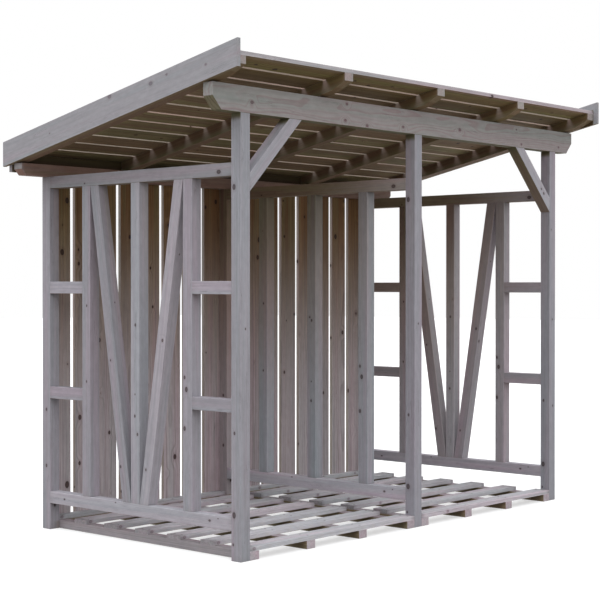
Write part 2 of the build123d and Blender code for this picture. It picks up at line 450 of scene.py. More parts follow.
for name in ("front_beam", "left_front_post", "left_rear_v_brace", "roof_boards"):
    print(name, "grain runs along", [round(v, 2) for v in grain_frame(boards[name].data)[0]])

# %% [markdown]
# ## Every plank its own shade, with painted light and shade
#
# A stack of softwood is never one colour: each piece is cut from another plank, and some
# planks are darker or pinker. These shades also hold painted light and shade: some pieces are
# darker as painted shade, such as the top rails under the roof, some lighter as painted light,
# such as the bottom rails, and the pieces of the middle and right frames that face into the
# store are browner, as painted shade. The shade is a red, green and blue share that the finish
# is multiplied by later. Random shades would do for a crowd of boards; here the plain ones are
# written down piece by piece, like the knots.

# %% Plank shades
as_sawn = (1.0, 1.0, 1.0)
plank_tone_and_light = {
    "front_post": (0.86, 0.86, 0.86), "rear_post": (0.94, 0.93, 0.93), "studs": (0.93, 0.93, 0.93),
    "top_rail": (0.81, 0.82, 0.80), "bottom_rail": (1.18, 1.15, 1.15), "rungs": (0.94, 0.92, 0.93),
    "rear_v_brace": (0.84, 0.83, 0.83), "front_v_brace": (1.10, 1.06, 1.06),
    "middle_front_post": (0.93, 0.94, 0.95), "middle_rear_post": (1.02, 0.90, 0.85),
    "middle_studs": (0.84, 0.89, 0.88), "middle_top_rail": (0.88, 0.81, 0.71),
    "right_front_post": (0.92, 0.91, 0.92), "right_studs": (1.02, 0.97, 0.94),
    "right_top_rail": (1.02, 0.95, 0.90), "right_rungs": (0.96, 0.91, 0.90),
    "right_rear_v_brace": (0.94, 0.88, 0.84), "right_front_v_brace": (1.02, 0.96, 0.94),
}
print("planks with a shade of their own:", len(plank_tone_and_light))

# %% [markdown]
# ## Handing the facts over
#
# Now every node gets the group as a modifier, with its own directions, knots, shade and seed
# typed in. A knot socket that a piece has no use for gets a knot a kilometre away. Last comes
# Weighted Normal, which keeps the wide faces flat and lets only the rounded arrises catch a
# gradient.

# %% Knots for the sockets
far_away = Vector((1000.0, 0.0, 0.0))
spare_radius = 0.005


def own_or_shared(table, name, otherwise):
    """A piece's own entry in a table, or the one that the three side frames share."""
    return table.get(name, table.get(name.partition("_")[2], otherwise))


def knot_values(name, ways):
    """Places and rows of radii for all the knot sockets of one node."""
    low, high = (Vector(corner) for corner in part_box(name))
    own_knots = own_or_shared(placed_knots, name, ())
    places = [low + Vector(knot[:3]) / 1000 * (high - low) for knot in own_knots]
    places = [Vector([way.dot(place) for way in ways]) for place in places]
    spare = len(knot_sockets) - len(places)
    radii = [knot[3] / 1000 for knot in own_knots] + [spare_radius] * spare
    rows = [radii[row * knots_in_row:(row + 1) * knots_in_row] for row in range(knot_rows)]
    return places + [far_away] * spare, rows


# %% Tell every board its facts
for seed, name in enumerate(sorted(boards), start=1):
    board = boards[name]
    ways = grain_frame(board.data)
    places, rows = knot_values(name, ways)
    fact = board.modifiers.new("board_facts", "NODES")
    fact.node_group = facts
    for socket, value in zip(way_sockets + knot_sockets + size_sockets, list(ways) + places + rows):
        fact[socket.identifier] = tuple(value)
    # The piece's shade is its plank's tone together with painted light and shade.
    fact[shade_socket.identifier] = own_or_shared(plank_tone_and_light, name, as_sawn)
    fact[seed_socket.identifier] = seed
    flat = board.modifiers.new("flat_faces", "WEIGHTED_NORMAL")
    flat.keep_sharp = False
print("nodes that know their boards:", len(boards))

# %% [markdown]
# ## Knots
#
# A knot is a branch that the trunk grew round. A Voronoi texture scatters one point in each
# block of space, and the distance to that point, measured shorter along the grain than
# across it, gives an oval. Each block also brings its own random colour, which decides how
# large its knot is and whether it has one at all. Because the pattern fills space, a knot
# that leaves one face comes out of the next one, as a real one does; a picture laid on each
# face could not do that. The placed knots are measured in the same way and joined by taking
# whichever knot is nearest.

# %% Groups, stored facts and fading
def new_group(name, takes, gives):
    """A shader node group with named sockets; returns it with its inner ends."""
    group = bpy.data.node_groups.new(name, "ShaderNodeTree")
    for label, kind in takes.items():
        group.interface.new_socket(label, in_out="INPUT", socket_type="NodeSocket" + kind)
    for label in gives:
        group.interface.new_socket(label, in_out="OUTPUT", socket_type="NodeSocketFloat")
    return group, group.nodes.new("NodeGroupInput").outputs, group.nodes.new("NodeGroupOutput").inputs


def fact_of(tree, name):
    """Read one stored fact in a material."""
    return add(tree, "ShaderNodeAttribute", attribute_name=name).outputs["Vector"]


def shifted_place(takes, distance):
    """Each board cuts its pattern from its own part of space."""
    return arrow("ADD", takes["Place"], arrow("SCALE", takes["Seed"], scale=distance))


def fade(value, start, end):
    """The other way round from ease: one up to the start, zero from the end."""
    return ease(value, start, end, 1.0, 0.0)


def off_half(value):
    """How far noise or a random number is above or below a half, its middle."""
    return reckon("SUBTRACT", value, 0.5)


# %% Scattered knots
oval = (0.72, 1.0, 1.0)
least_size, no_knot_here = 0.3, 20.0


def rim_of(place, branch, radius):
    """How far a place is from a branch, where one is the knot's own rim."""
    off = arrow("MULTIPLY", arrow("SUBTRACT", place, branch), oval)
    return reckon("DIVIDE", arrow("LENGTH", off), radius)


knots, takes, gives = new_group(
    "knots",
    {"Place": "Vector", "Seed": "Vector", "Block": "Vector", "Radius": "Float", "Missing": "Float"},
    ("Distance", "Swirl"),
)
shifted = shifted_place(takes, 13.0)
cells = add(knots, "ShaderNodeTexVoronoi", {"Scale": 1.0, "Randomness": 0.9})
feed(cells.inputs["Vector"], arrow("DIVIDE", shifted, takes["Block"]))
branch = arrow("MULTIPLY", cells.outputs["Position"], takes["Block"])
chance = add(knots, "ShaderNodeSeparateColor", {"Color": cells.outputs["Color"]})
size = reckon("POWER", chance.outputs[0], 2.0)
size = scaled(size, 1 - least_size, least_size)
rim = rim_of(shifted, branch, product(size, takes["Radius"]))
missing = reckon("LESS_THAN", chance.outputs[1], takes["Missing"])
rim = scaled(missing, no_knot_here, rim)
print("nodes for the scattered knots:", len(knots.nodes))

# %% Placed knots join in
for row in range(knot_rows):
    radii = parts(fact_of(knots, f"knot_sizes_{row + 1}"))
    for column in range(knots_in_row):
        placed = fact_of(knots, f"knot_{row * knots_in_row + column + 1}")
        placed_rim = rim_of(fact_of(knots, "timber_spot"), placed, radii[column])
        rim = reckon("MINIMUM", rim, placed_rim)
swirl_height = 0.006
feed(gives["Distance"], rim)
feed(gives["Swirl"], product(fade(rim, 0.6, 5.0), swirl_height))
print("knot group:", len(knots.nodes), "nodes")

# %% [markdown]
# ## Growth rings
#
# A trunk adds one ring a year: wide pale early wood, then a thin dark line of late wood. The
# rings are a distance from the pith, the middle of the trunk, which lies at a random place
# beside each board and leans a little, so that the faces show long arches and the cut ends
# show arcs. A slow wobble keeps the lines from being ruled, and near a knot they bow out. A
# strong wobble, the figure, gives the flame-like loops of a beam sawn close to the pith. The
# Wave texture draws rings too, but all alike, while rings that are counted year by year can
# each be given their own strength.

# %% Distance from the pith
lean_spread, aside_spread, below_spread, nearest_pith = 0.05, 0.12, 0.075, 0.012
sway_across, sway_through = 0.030, 0.022
rings, takes, gives = new_group(
    "growth_rings",
    {"Place": "Vector", "Seed": "Vector", "Swirl": "Float", "Width": "Float", "Figure": "Float"},
    ("Late",),
)
along, across, through = parts(takes["Place"])
lean, aside, below = parts(takes["Seed"])
shifted = shifted_place(takes, 31.0)
wobble = add(rings, "ShaderNodeTexNoise", {"Scale": 1.0, "Detail": 2.0})
feed(wobble.inputs["Vector"], arrow("MULTIPLY", shifted, (2.2, 9.0, 9.0)))
sway = add(rings, "ShaderNodeSeparateColor", {"Color": wobble.outputs["Color"]}).outputs
sways = [product(off_half(sway[n]), takes["Figure"]) for n in (0, 1)]
lean = product(off_half(lean), lean_spread)
pith_across = scaled(off_half(aside), aside_spread, across)
pith_across = scaled(along, lean, pith_across)
pith_across = scaled(sways[0], sway_across, pith_across)
pith_through = reckon("ADD", through, nearest_pith)
pith_through = scaled(below, below_spread, pith_through)
pith_through = scaled(sways[1], sway_through, pith_through)
from_pith = add(rings, "ShaderNodeCombineXYZ", {0: 0.0, 1: pith_across, 2: pith_through}).outputs[0]
print("nodes that find the pith:", len(rings.nodes))

# %% Count the years
bowed = product(takes["Swirl"], takes["Figure"])
age = scaled(bowed, 0.9, arrow("LENGTH", from_pith))
years = reckon("DIVIDE", age, takes["Width"])
season = reckon("FRACT", years)
late = product(ease(season, 0.35, 0.86), fade(season, 0.93, 1.0))
strong = add(rings, "ShaderNodeTexWhiteNoise", {"W": reckon("FLOOR", years)}, noise_dimensions="1D")
late = product(late, ease(strong.outputs[0], 0.0, 1.0, 0.35, 1.0))
feed(gives["Late"], late)
print("ring group:", len(rings.nodes), "nodes")

# %% [markdown]
# ## Fibres, streaks and drying cracks
#
# Along the grain, wood is made of long fibres. Noise that is stretched thirty to sixty times
# along the board gives them, at three sizes: fine fibres, narrow streaks, and a slow drift
# from the warm heartwood to the paler sapwood. Rain leaves rounder clouds on top of them, as
# large as a thumb. Weathered wood also opens in short cracks along the grain. They are the
# thin places where one more stretched noise crosses its middle value, kept only where a
# second, broader noise is high. Drawn lines would do for cracks, but would look alike.

# %% Fibres
fibres, takes, gives = new_group(
    "fibres", {"Place": "Vector", "Seed": "Vector"}, ("Fibre", "Streak", "Drift", "Cloud", "Crack"),
)
shifted = shifted_place(takes, 57.0)
feed(gives["Fibre"], grey_noise(shifted, (14, 850, 850), 3, 0.6))
feed(gives["Streak"], grey_noise(shifted, (1.9, 120, 120), 3, 0.6))
feed(gives["Drift"], grey_noise(shifted, (0.9, 26, 26), 2, 0.5))
feed(gives["Cloud"], grey_noise(shifted, (24, 60, 60), 3, 0.65))
edge = reckon("ABSOLUTE", off_half(grey_noise(shifted, (5, 210, 210))))
crack = fade(edge, 0.004, 0.016)
some = ease(grey_noise(shifted, (7, 38, 38), 2), 0.58, 0.68)
feed(gives["Crack"], product(crack, some))
print("fibre group:", len(fibres.nodes), "nodes")

# %% [markdown]
# ## Weather, shelter and painted shade
#
# Sun and rain bleach bare softwood to a silver grey, while wood under a roof stays brown. The
# brown here is also painted shade, for the dimmer light inside the store and under the roof.
# It could be painted on by hand, but a test made from the store's own measures keeps up when
# a size changes. A face is sheltered when the air just in front of it is inside the store, so
# the test takes a point a hand's breadth off the face and asks whether it lies between the
# side frames, behind the front posts and under the roof. Low down, rain and light still blow
# in, so the brown fades towards the ground, and the painted shade is darker towards the top.
# Faces that look down get the brown as painted shade, and the crawl space under the floor
# slats gets a painted shadow. All these borders are soft.

# %% Where the air is
hand = 0.10
left_x, right_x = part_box("left_front_post")[0][0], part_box("right_front_post")[1][0]
front_y, back_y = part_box("left_front_post")[0][1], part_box("left_back_boards")[1][1]
roof_low, roof_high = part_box("roof_boards")
roof_fall = (roof_high[2] - roof_low[2]) / (roof_high[1] - roof_low[1])

# This group gives the masks for weathering and for painted shade.
shelter, _, gives = new_group("shelter", {}, ("Inside", "Downward", "Deep", "Crawl", "Eaves", "Neck"))
here = add(shelter, "ShaderNodeTexCoord").outputs["Object"]
facing = add(shelter, "ShaderNodeNewGeometry").outputs["True Normal"]
air = arrow("ADD", here, arrow("SCALE", facing, scale=hand))
x, y, z = parts(air)
_, own_y, own_z = parts(here)
_, forward, upward = parts(facing)
under = scaled(reckon("SUBTRACT", y, roof_low[1]), -roof_fall, roof_high[2])
roofed = reckon("SUBTRACT", under, z)
print("roof falls", round(roof_fall, 3), "m in each metre")

# %% Inside the store
# Inside is partly weathering and partly painted shade, darker from the ground up; Crawl is a painted shadow
# under the floor slats.
between = product(ease(x, left_x - 0.02, left_x + 0.10), fade(x, right_x - 0.10, right_x + 0.02))
inside = product(
    between, ease(y, front_y - 0.25, front_y + 0.75), fade(y, back_y - 0.01, back_y + 0.04),
    ease(roofed, -0.03, 0.01), ease(z, 0.15, 1.30, 0.05, 1.0),
)
crawl = product(
    between, ease(y, front_y - 0.06, front_y - 0.02), fade(y, back_y - 0.02, back_y + 0.02),
    ease(z, 0.036, 0.024),
)
feed(gives["Inside"], inside)
feed(gives["Crawl"], crawl)
# Faces that look down take the brown as painted shade.
feed(gives["Downward"], ease(upward, -0.25, -0.75))
print("store is open from", round(front_y, 3), "to", round(back_y, 3), "m in depth")

# %% [markdown]
# The last few hands' breadths under the roof, its overhangs too, are the deepest brown, which
# turns to olive under the eaves, where moss starts; this deepest brown is painted shade for
# the dark close under the roof. The necks of the posts and braces, tight under the beam, get a
# dark olive painted shade too.

# %% Under the roof and under the beam
beam_foot, beam_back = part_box("front_beam")[0][2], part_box("front_beam")[1][1]
# Deep: painted shade, darkest close under the roof.
deep = product(
    fade(roofed, 0.16, 0.68), ease(roofed, -0.01, 0.002),
    ease(x, roof_low[0] - 0.02, roof_low[0] + 0.02), fade(x, roof_high[0] - 0.02, roof_high[0] + 0.02),
    ease(y, roof_low[1] - 0.006, roof_low[1] + 0.004), fade(y, roof_high[1] - 0.03, roof_high[1] + 0.01),
)
# Neck: painted shade tight under the front beam, where the posts and braces meet it.
neck = product(
    ease(own_z, beam_foot - 0.036, beam_foot - 0.004), fade(own_z, beam_foot + 0.001, beam_foot + 0.003),
    fade(own_y, beam_back + 0.001, beam_back + 0.003), ease(forward, -0.8, -0.5),
)
feed(gives["Deep"], deep)
feed(gives["Neck"], neck)
feed(gives["Eaves"], fade(y, roof_low[1] + 0.10, roof_low[1] + 0.24))
print("shelter group:", len(shelter.nodes), "nodes")

# %% [markdown]
# ## Painted light through the roof
#
# The roof boards are laid a finger apart, and the light that comes through each gap is painted
# into the colour. The board edges in the gaps are pale with painted light, and the lip of the
# first board, which the rain washes, is pale too. The rafters' sides get a painted pool of
# light under each gap, narrow at the top and wider and fainter lower down, with dark brown
# arches of painted shade between and an olive painted shade at their foot. The narrow sides of
# the wall boards, which face the gaps between them, are pale with painted light as well. All
# the gaps repeat at one step down the slope, so the remainder of a division tells how far any
# point is from the nearest one. The step itself is measured on the boards.

# %% Measure the gaps
slope_way = grain_frame(boards["rafters"].data)[0]
slope_way = slope_way if slope_way.y > 0 else -slope_way
roof_up = Vector((1, 0, 0)).cross(slope_way)
roof_verts = boards["roof_boards"].data.vertices
board_sides = sorted({round(slope_way.dot(vert.co), 4) for vert in roof_verts})
underside = min(roof_up.dot(vert.co) for vert in roof_verts)
first_gap = (board_sides[1] + board_sides[2]) / 2
last_gap = len(board_sides) // 2 - 2
gap_step = board_sides[2] - board_sides[0]
print("roof boards:", len(board_sides) // 2, "at a step of", round(gap_step * 1000, 1), "mm")

# %% How far from a gap
roof_gaps, _, gives = new_group("roof_gaps", {}, ("Foot", "Patch", "Edge", "Lip", "Side"))
here = add(roof_gaps, "ShaderNodeTexCoord").outputs["Object"]
facing = add(roof_gaps, "ShaderNodeNewGeometry").outputs["True Normal"]
down_slope = arrow("DOT_PRODUCT", here, tuple(slope_way))
steps = reckon("DIVIDE", reckon("SUBTRACT", down_slope, first_gap), gap_step)
off_gap = reckon("SUBTRACT", steps, reckon("ROUND", steps))
off_gap = product(reckon("ABSOLUTE", off_gap), gap_step)
depth = reckon("SUBTRACT", underside, arrow("DOT_PRODUCT", here, tuple(roof_up)))
depth = reckon("MAXIMUM", depth, 0.0)
print("gaps run from number 0 to number", last_gap)

# %% Painted light and shade on the rafters' sides
sideways = arrow("DOT_PRODUCT", facing, (1, 0, 0))
side = ease(reckon("ABSOLUTE", sideways), 0.6, 0.8)
patch_core = scaled(depth, 0.05, 0.003)
patch_rim = scaled(depth, 0.60, 0.010)
# Patch: a painted pool of light on a rafter's side under each gap.
patch = product(fade(off_gap, patch_core, patch_rim), ease(depth, 0.0, 0.05, 0.95, 0.30), side)
feed(gives["Patch"], patch)
# Foot: an olive painted shade low on the rafters' sides.
feed(gives["Foot"], product(side, ease(depth, 0.018, 0.042)))
# Side: faces that look along X; on the wall boards they take a painted light.
feed(gives["Side"], side)
print("nodes so far:", len(roof_gaps.nodes))

# %% Painted light on the boards' edges, and the lip
along_slope = reckon("ABSOLUTE", arrow("DOT_PRODUCT", facing, tuple(slope_way)))
across_gap = ease(along_slope, 0.6, 0.8)
# Edge: board edges in the gaps, which take a painted light; the lip is kept apart.
edge = product(across_gap, ease(steps, -0.9, -0.7), fade(steps, last_gap + 0.7, last_gap + 0.9))
feed(gives["Edge"], edge)
feed(gives["Lip"], product(across_gap, ease(steps, -0.7, -0.9)))
print("roof gap group:", len(roof_gaps.nodes), "nodes")

# %% [markdown]
# ## Timber finishes
#
# All the timber is the same softwood, so one recipe makes every finish, and the finishes
# differ only in their numbers: how pale the weathered grey is, how brown the sheltered wood
# stays, and how strongly the rings show. The layers go on one over the other: rings and
# shelter with its painted shade first, then the painted light and shade under the roof gaps,
# the plank's own shade with its painted light and shade, heartwood and streaks, knots, cracks,
# and last the rubbed arrises with their painted highlight and the cut ends. First come the
# numbers that a finish keeps unless it says otherwise, and the patterns, wired to a board's own
# facts.

# %% Softwood and its patterns
softwood = {
    "indoors": 1.0, "under_roof": 0.0, "marks": {}, "ring_depth": 0.3, "ring_width": 0.0052,
    "late_tint": (0.66, 0.64, 0.64), "figure": 1.0, "streak_depth": 1.0,
    "knot_block": (0.25, 0.07, 0.07), "knot_radius": 0.0050, "few_knots": 0.35,
    "knot_tint": (0.50, 0.44, 0.42), "bark_tint": (0.42, 0.40, 0.42),
    "eaves_tint": (0.86, 0.86, 0.64), "end_damp": 0.25, "end_tint": (0.76, 0.73, 0.70),
}


def patterns_of(tree, look):
    """Every pattern, set for one finish and wired to the board's own facts."""
    place, half, seed = (fact_of(tree, "timber_" + fact) for fact in ("place", "half", "seed"))

    def run(group, *values):
        """Put one group on the tree and give it its values in order."""
        return add(tree, "ShaderNodeGroup", dict(enumerate(values)), node_tree=group).outputs

    knot = run(knots, place, seed, look.knot_block, look.knot_radius, look.few_knots)
    growth = run(rings, place, seed, knot["Swirl"], look.ring_width, look.figure)
    return SimpleNamespace(
        place=place, half=half, luck=parts(seed), plank_and_light=fact_of(tree, "timber_shade"),
        rim=knot["Distance"], late=product(growth["Late"], look.ring_depth),
        grain=run(fibres, place, seed), cover=run(shelter), light=run(roof_gaps),
    )


print("numbers in the recipe:", len(softwood))

# %% [markdown]
# ### Grey outdoors, brown and shaded indoors
#
# Each board holds both woods, and the shelter test mixes them; the brown wood is partly
# painted shade. The border between them would be a clean line if the test were used as it
# comes. On real boards it runs out along the grain, so the streaks are added to it first.

# %% Sheltered wood and painted shade
# Painted shade: under_slats is the dark brown under the floor slats, under_beam the dark olive tight under
# the front beam.
under_slats, under_beam, late_brown = (0.20, 0.155, 0.095), (0.10, 0.09, 0.045), (0.58, 0.52, 0.48)
moss_luck = 0.20


def tinted(amount, shade, tint):
    """Multiply a shade by a tint, as far as the amount says."""
    return mixed(amount, shade, colour(*tint), "MULTIPLY")


def sheltered_and_shaded_wood(look, seen):
    """Brown for weathering and painted shade, deeper or mossy near the roof, with its own late wood."""
    cover = seen.cover
    green = scaled(off_half(seen.luck[1]), moss_luck, seen.grain["Drift"])
    mossy = mixed(ease(green, 0.46, 0.56), colour(*look.deep), colour(*look.moss))
    mossy = tinted(cover["Eaves"], mossy, look.eaves_tint)
    kept = mixed(cover["Deep"], colour(*look.brown), mossy)
    kept = mixed(cover["Crawl"], kept, colour(*under_slats))
    kept = mixed(cover["Neck"], kept, colour(*under_beam))
    return tinted(seen.late, kept, late_brown)


# %% Where the shelter ends
ragged_border = 0.6


def covered_share(look, seen):
    """How sheltered and shaded a place is, with a border that runs out along the streaks."""
    cover = seen.cover
    covered = product(cover["Inside"], look.indoors)
    under_roof = product(cover["Deep"], look.under_roof)
    for shelter_kind in (cover["Downward"], under_roof, cover["Crawl"], cover["Neck"]):
        covered = reckon("MAXIMUM", covered, shelter_kind)
    covered = scaled(off_half(seen.grain["Streak"]), ragged_border, covered)
    return ease(covered, 0.02, 0.98)


def weathered_and_painted_light(look, seen):
    """Grey in the weather, brown under cover and in painted shade, with painted light under the roof gaps.
    """
    late_grey = (share * tint for share, tint in zip(look.grey, look.late_tint))
    bleached = mixed(seen.late, colour(*look.grey), colour(*late_grey))
    covered = covered_share(look, seen)
    shade = mixed(covered, bleached, sheltered_and_shaded_wood(look, seen))
    # The marks are painted light and shade under the roof gaps, and the washed lip.
    for mark, tint in look.marks.items():
        shade = mixed(seen.light[mark], shade, colour(*tint))
    return shade


# %% [markdown]
# ### Boards that differ
#
# No two boards are the same shade, and no board is one shade from edge to edge: heartwood is
# pinker, sapwood a little green, and streaks, fibres and clouds run over both. All of these
# only multiply the shade by numbers near one, so that they can't take the wood out of its
# range.

# %% Shade from board to board
heartwood, sapwood, drift_depth = (1.07, 0.965, 1.0), (0.94, 0.998, 0.99), 0.85
streak_darker, streak_lighter = 0.09, 0.08


def varied(look, seen, shade):
    """The board's own shade, its piece's tone with painted light and shade, then heartwood, sapwood and
    streaks.
    """
    grain = seen.grain
    shade = arrow("SCALE", shade, scale=ease(seen.luck[2], 0.0, 1.0, 0.93, 1.07))
    # The piece's shade: plank tone and painted light and shade.
    shade = arrow("MULTIPLY", shade, seen.plank_and_light)
    for end, tint in ((0.66, heartwood), (0.36, sapwood)):
        shade = tinted(ease(grain["Drift"], 0.50, end, 0.0, drift_depth), shade, tint)
    darkest, lightest = 1.0 - streak_darker * look.streak_depth, 1.0 + streak_lighter * look.streak_depth
    streaky = ease(grain["Streak"], 0.25, 0.75, darkest, lightest)
    fine = ease(grain["Fibre"], 0.2, 0.8, 0.96, 1.04)
    cloudy = ease(grain["Cloud"], 0.30, 0.70, 0.94, 1.05)
    return arrow("SCALE", shade, scale=product(streaky, fine, cloudy))


# %% [markdown]
# ### Knots, cracks, arrises and ends
#
# A knot has a dark rim of bark round a heart that keeps the colour of the wood, and the wood
# just outside it is a little darker too. Cracks are dark and sunken. Hands, logs and rain rub
# the long arrises paler, and the paler line is also a painted highlight on the rounded arris.
# A cut end drinks water like a bundle of straws and is another shade for its first few
# centimetres, and on the floor slats this darker end is also painted shade; the distance to it
# is what is left of the board's half size.

# %% Marks on the wood
halo_tint, crack_tint, crack_shade = (0.80, 0.72, 0.72), (0.30, 0.28, 0.28), 0.6
# The rubbed tint stands for wear and a painted highlight along the arrises.
rubbed_and_highlight_tint, rubbed_and_highlight_share, end_reach = (1.30, 1.30, 1.30), 0.25, 0.030


def knotted(look, seen, shade):
    """Knots with their bark and halo, and the cracks."""
    heart = fade(seen.rim, 0.80, 1.15)
    bark = product(heart, ease(seen.rim, 0.3, 0.95, 0.5, 1.0))
    shade = tinted(heart, shade, look.knot_tint)
    shade = tinted(bark, shade, look.bark_tint)
    shade = tinted(ease(seen.rim, 1.0, 2.4, 0.5, 0.0), shade, halo_tint)
    cracked = product(seen.grain["Crack"], crack_shade)
    return tinted(cracked, shade, crack_tint)


def worn_and_highlit(look, seen, shade):
    """Rubbed arrises with a painted highlight, and the damp and painted shade of the cut ends."""
    inset = arrow("SUBTRACT", seen.half, arrow("ABSOLUTE", seen.place))
    to_end, to_side, to_face = parts(inset)
    to_arris = reckon("MAXIMUM", to_side, to_face)
    # Paler arrises: wear and a painted highlight.
    shade = tinted(ease(to_arris, 0.0005, 0.004, rubbed_and_highlight_share, 0.0), shade, rubbed_and_highlight_tint)
    # Cut ends: damp, and on the floor slats a painted shade.
    return tinted(ease(to_end, 0.0, end_reach, look.end_damp, 0.0), shade, look.end_tint)


# %% One recipe for all the timber
crack_depth, fibre_height = 1.6, 0.0006
layers = (varied, knotted, worn_and_highlit)
finishes = {}


def timber(name, grey, brown, moss, deep, **own_numbers):
    """Make one finish; what it doesn't say for itself is taken from softwood."""
    look = SimpleNamespace(grey=grey, brown=brown, moss=moss, deep=deep, **{**softwood, **own_numbers})
    finish, tree, wood = new_finish(name)
    seen = patterns_of(tree, look)
    shade = weathered_and_painted_light(look, seen)
    for layer in layers:
        shade = layer(look, seen, shade)
    feed(wood.inputs["Base Color"], shade)
    feed(wood.inputs["Roughness"], ease(seen.grain["Streak"], 0.2, 0.8, 0.86, 0.72))
    wood.inputs["Specular IOR Level"].default_value = 0.35
    height = scaled(seen.grain["Crack"], -crack_depth, seen.grain["Fibre"])
    bump = add(tree, "ShaderNodeBump", {"Strength": 0.45, "Distance": fibre_height, "Height": height})
    feed(wood.inputs["Normal"], bump.outputs["Normal"])
    finishes[name] = finish


print("layers over the weathered wood:", [layer.__name__ for layer in layers])

# %% [markdown]
# ### The numbers of each finish
#
# Each call gives the weathered grey, the sheltered brown, the mossy and the deepest shade,
# and then what differs from softwood; the brown, mossy and deepest shades are partly painted
# shade. The frame is the plain case. The front beam was sawn close to the pith, so its rings
# are wide, red and strongly figured; its grey is darker, as painted shade under the roof's
# overhang, and its sheltered and downward faces are a dark olive painted shade. The rear beam
# and the rafters never see the sun, except where light falls through the roof gaps, and that
# light is painted on the rafters.

# %% Frame, beams and rafters
# In every finish the brown, moss and deep shades are partly painted shade.
timber("frame_timber", (0.31, 0.30, 0.33), (0.255, 0.20, 0.175), (0.17, 0.145, 0.095),
       (0.165, 0.11, 0.085), ring_depth=0.25)
# Rafters: Foot is an olive painted shade, Patch a painted pool of light under each roof gap.
timber("rafters_timber", (0.285, 0.26, 0.25), (0.20, 0.145, 0.08), (0.165, 0.128, 0.068),
       (0.160, 0.098, 0.060), indoors=0.25, under_roof=1.0,
       marks={"Foot": (0.165, 0.135, 0.075), "Patch": (0.30, 0.24, 0.205)})
timber("rear_beam_timber", (0.27, 0.25, 0.255), (0.262, 0.160, 0.128), (0.17, 0.13, 0.085),
       (0.22, 0.135, 0.105), under_roof=0.8)
# Front beam: a darker grey for painted shade under the overhang, dark olive painted shade below.
timber("front_beam_timber", (0.236, 0.236, 0.228), (0.15, 0.14, 0.085), (0.10, 0.11, 0.045),
       (0.12, 0.11, 0.055), indoors=0.8, ring_depth=0.7, ring_width=0.0105,
       late_tint=(0.88, 0.68, 0.71), streak_depth=0.8, figure=4.0, few_knots=0.8,
       knot_tint=(0.74, 0.62, 0.65), bark_tint=(0.66, 0.56, 0.60))
print("finishes so far:", len(finishes))

# %% [markdown]
# Boards are sawn from the outside of the trunk, so they carry more and larger knots than the
# sticks. The roof boards are pale in their gaps, with painted light, and at the front lip,
# which the rain washes; the wall boards are pale on their sides, with painted light from the
# gaps between them. The roof trim's deepest shades are nearly black, a painted shade on the
# inner face of the fascia. The floor is the palest of all, bleached by rain and scoured by
# logs, and its slats' ends are darker, as painted shade; its bearers are darker, as they stand
# on the ground.

# %% Roof, walls and floors
board_knots = {
    "knot_block": (0.17, 0.09, 0.035), "knot_radius": 0.0095, "few_knots": 0.10,
    "knot_tint": (0.30, 0.22, 0.20),
}
# Roof boards: Edge is painted light in the gaps; Lip is the rain-washed front edge.
timber("roof_boards", (0.24, 0.23, 0.235), (0.20, 0.14, 0.08), (0.184, 0.156, 0.073),
       (0.182, 0.120, 0.066), under_roof=1.0, ring_depth=0.6, streak_depth=2.0,
       marks={"Edge": (0.43, 0.36, 0.30), "Lip": (0.275, 0.255, 0.265)}, **board_knots)
# Roof trim: the nearly black moss and deep shades are painted shade on the fascia's inner face.
timber("roof_trim", (0.252, 0.245, 0.262), (0.20, 0.15, 0.09), (0.060, 0.043, 0.016),
       (0.065, 0.038, 0.017), under_roof=1.0, ring_depth=0.12, streak_depth=0.6, few_knots=0.8,
       knot_tint=(0.80, 0.76, 0.78), bark_tint=(0.72, 0.68, 0.72))
# Wall boards: Side is painted light on the sides that face the gaps.
timber("wall_boards", (0.385, 0.335, 0.345), (0.242, 0.182, 0.142), (0.170, 0.118, 0.048),
       (0.168, 0.084, 0.032), ring_depth=0.7, streak_depth=2.4, marks={"Side": (0.30, 0.255, 0.23)},
       **board_knots)
# Floor: the darker ends of the slats are painted shade.
timber("floor_timber", (0.45, 0.435, 0.46), (0.27, 0.22, 0.18), (0.22, 0.21, 0.14), (0.2, 0.15, 0.1),
       indoors=0.5, ring_depth=0.4, streak_depth=1.8, end_damp=1.0, end_tint=(0.66, 0.64, 0.64),
       knot_tint=(0.86, 0.80, 0.82), bark_tint=(0.66, 0.62, 0.64))
timber("floor_bearers_timber", (0.30, 0.262, 0.278), (0.20, 0.15, 0.10), (0.22, 0.21, 0.14),
       (0.2, 0.15, 0.1), indoors=0.3, ring_depth=0.4, streak_depth=1.6, end_damp=1.0,
       end_tint=(1.28, 1.27, 1.29))
print("finishes:", ", ".join(finishes))

# %% [markdown]
# A board takes the finish that carries its own name, or its name without the side, or else
# the one of its slot. A finish can hang on the mesh or on the object. Here it hangs on the
# object, because the built meshes stay as they are.

# %% Dress the boards
slot_of = {part["node"]: part["material_slot"] for part in frame["record"]["subparts"]}
for name, board in boards.items():
    board.material_slots[0].link = "OBJECT"
    own_finishes = (name + "_timber", name.partition("_")[2] + "_timber", slot_of[name])
    board.material_slots[0].material = next(finishes[own] for own in own_finishes if own in finishes)
print("front beam wears", boards["front_beam"].material_slots[0].material.name)

# %% [markdown]
# ## Screws
#
# Every board is held by two countersunk screws where it crosses the timber under it. The
# places follow from the pieces themselves: each crossing of a roof board with a rafter, of
# the fascia with a rafter, of a slat with a bearer, and of a wall board with the rear beam
# and with the foot of the wall. They could be typed in as a list, but measured crossings keep
# up when a size changes.

